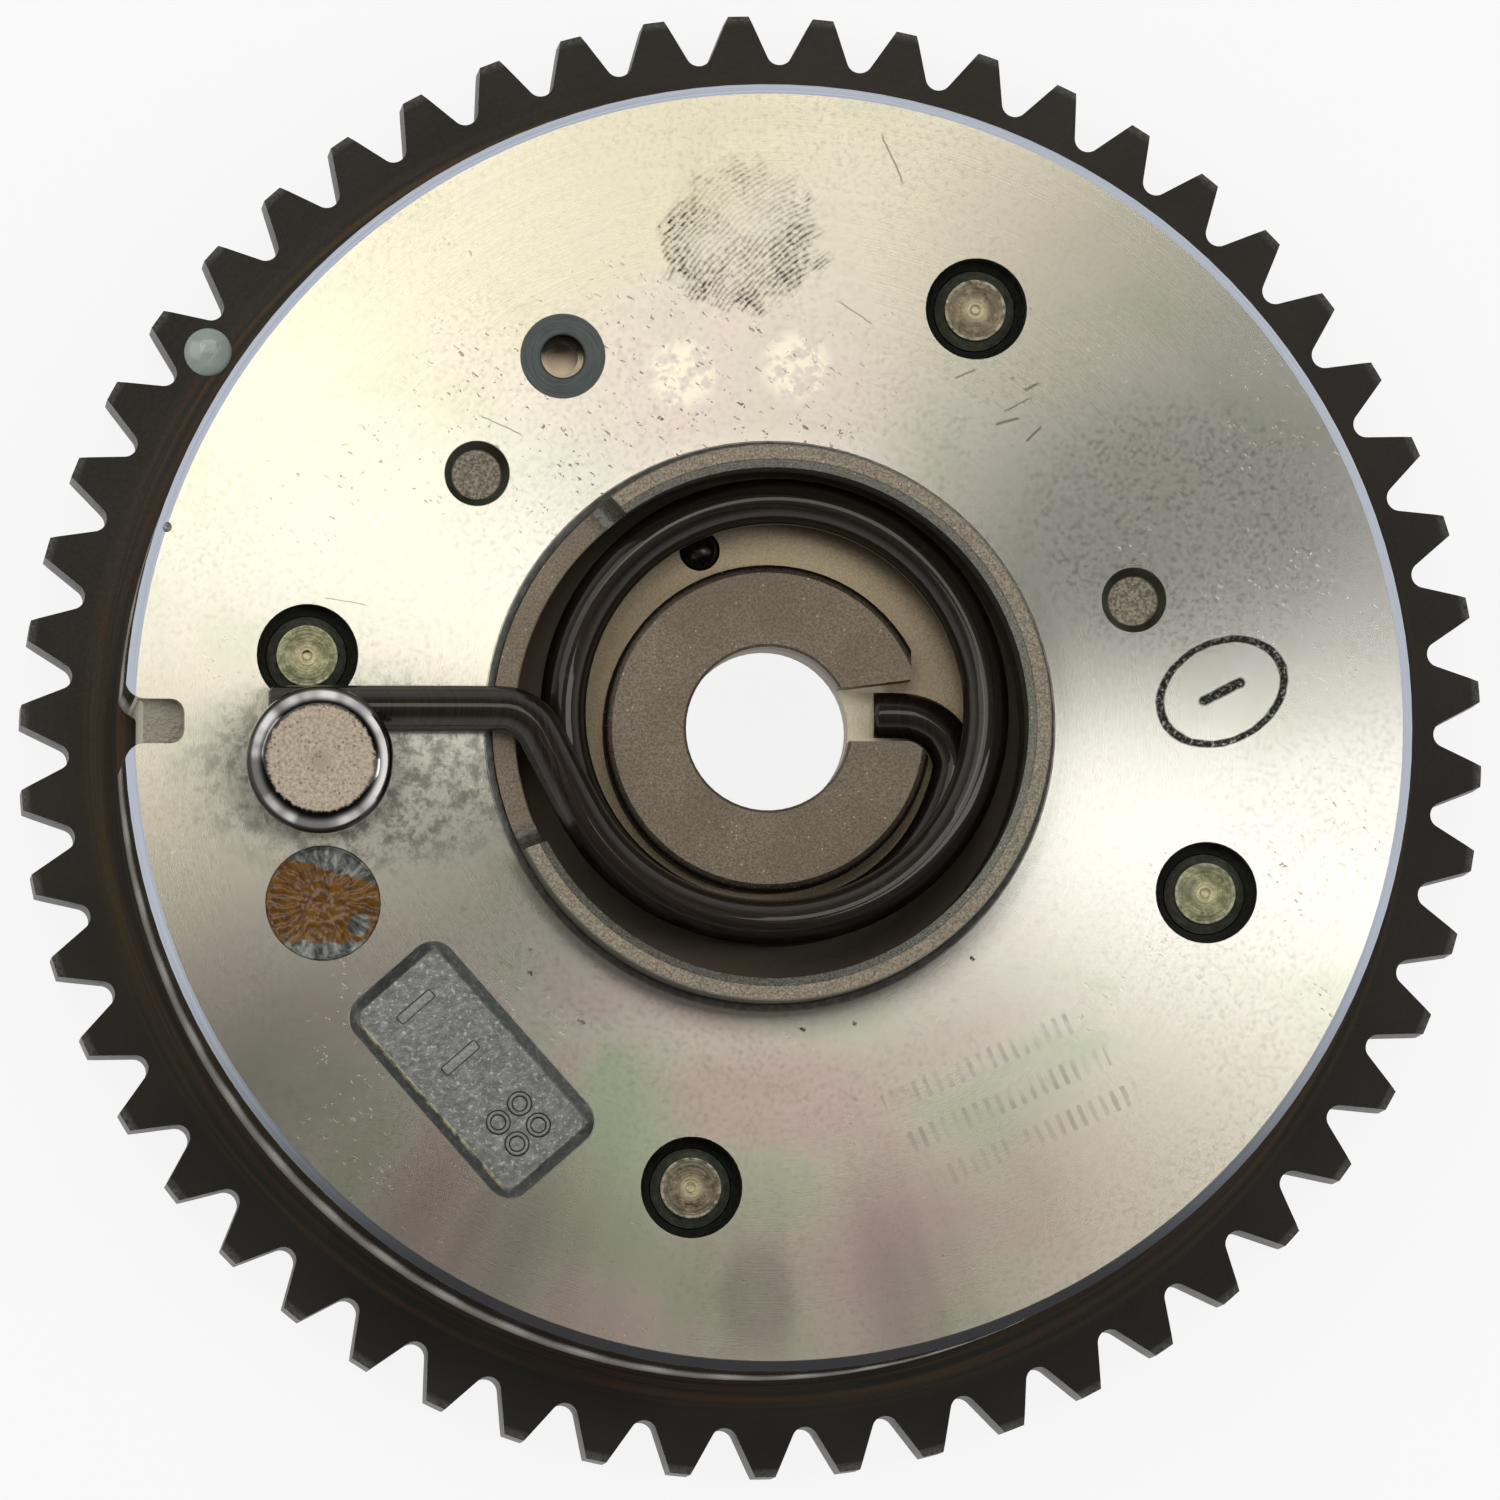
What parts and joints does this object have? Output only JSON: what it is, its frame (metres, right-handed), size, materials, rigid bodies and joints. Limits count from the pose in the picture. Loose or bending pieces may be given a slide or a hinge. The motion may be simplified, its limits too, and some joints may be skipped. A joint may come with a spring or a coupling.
{
  "type": "cam phaser",
  "caption": "Vane-type camshaft phaser: toothed timing-chain sprocket, cast housing, rotor in oil chambers, coiled bias spring on an anchor pin and a spring-loaded lock pin.",
  "frame": {"origin": "on the camshaft axis, at the flat rear face of the sprocket, which is the lowest face when the part lies down", "axes": "+Z along the shaft axis towards the open spring side, +X to the right and +Y up as the spring side is seen in the picture"},
  "size_m": [0.1094, 0.1094, 0.044],
  "materials": {
    "sprocket_steel": "dark oxidised sintered steel, satin",
    "housing_alloy": "die-cast, face turned on a lathe",
    "rotor_sinter": "sintered steel, fine grain",
    "spring_steel": "oil-tempered spring wire, glossy",
    "anchor_steel": "turned steel with a polished edge",
    "bush_steel": "ground steel",
    "pin_steel": "ground steel, tinted by heat",
    "bolt_steel": "passivated steel, olive-bronze",
    "bright_steel": "bright spring steel",
    "seal_polymer": "filled polymer seal",
    "sealant": "cured amber sealant"
  },
  "bodies": {
    "housing": {"housing": "housing_alloy", "sprocket": "sprocket_steel", "bias_spring": "spring_steel", "spring_anchor_pin": "anchor_steel", "lock_pin_bush": "bush_steel", "housing_bolts": "bolt_steel", "face_sealant": "sealant", "shoe_seal_1": "seal_polymer", "shoe_seal_2": "seal_polymer", "shoe_seal_3": "seal_polymer", "shoe_seal_4": "seal_polymer", "shoe_leaf_1": "bright_steel", "shoe_leaf_2": "bright_steel", "shoe_leaf_3": "bright_steel", "shoe_leaf_4": "bright_steel"},
    "rotor": {"rotor": "rotor_sinter", "lock_pin_spring": "bright_steel", "lock_pin_seat": "bright_steel", "gallery_ball": "spring_steel", "vane_seal_1": "seal_polymer", "vane_seal_2": "seal_polymer", "vane_seal_3": "seal_polymer", "vane_seal_4": "seal_polymer", "vane_leaf_1": "bright_steel", "vane_leaf_2": "bright_steel", "vane_leaf_3": "bright_steel", "vane_leaf_4": "bright_steel"},
    "lock_pin": {"lock_pin": "pin_steel"}
  },
  "joints": [
    {"name": "rotor_phase", "type": "hinge", "parent": "housing", "child": "rotor", "pos_m": [0, 0, 0.02], "axis": [0, 0, 1], "range_deg": [0, 22.5], "stiffness_Nm_per_rad": 0.8, "springref_deg": -45.84, "deforming": ["bias_spring"]},
    {"name": "lock_pin_slide", "type": "slide", "parent": "rotor", "child": "lock_pin", "axis": [0, 0, 1], "range_m": [-0.0015, 0], "stiffness_N_per_m": 400, "springref_m": 0.003, "deforming": ["lock_pin_spring"]}
  ]
}
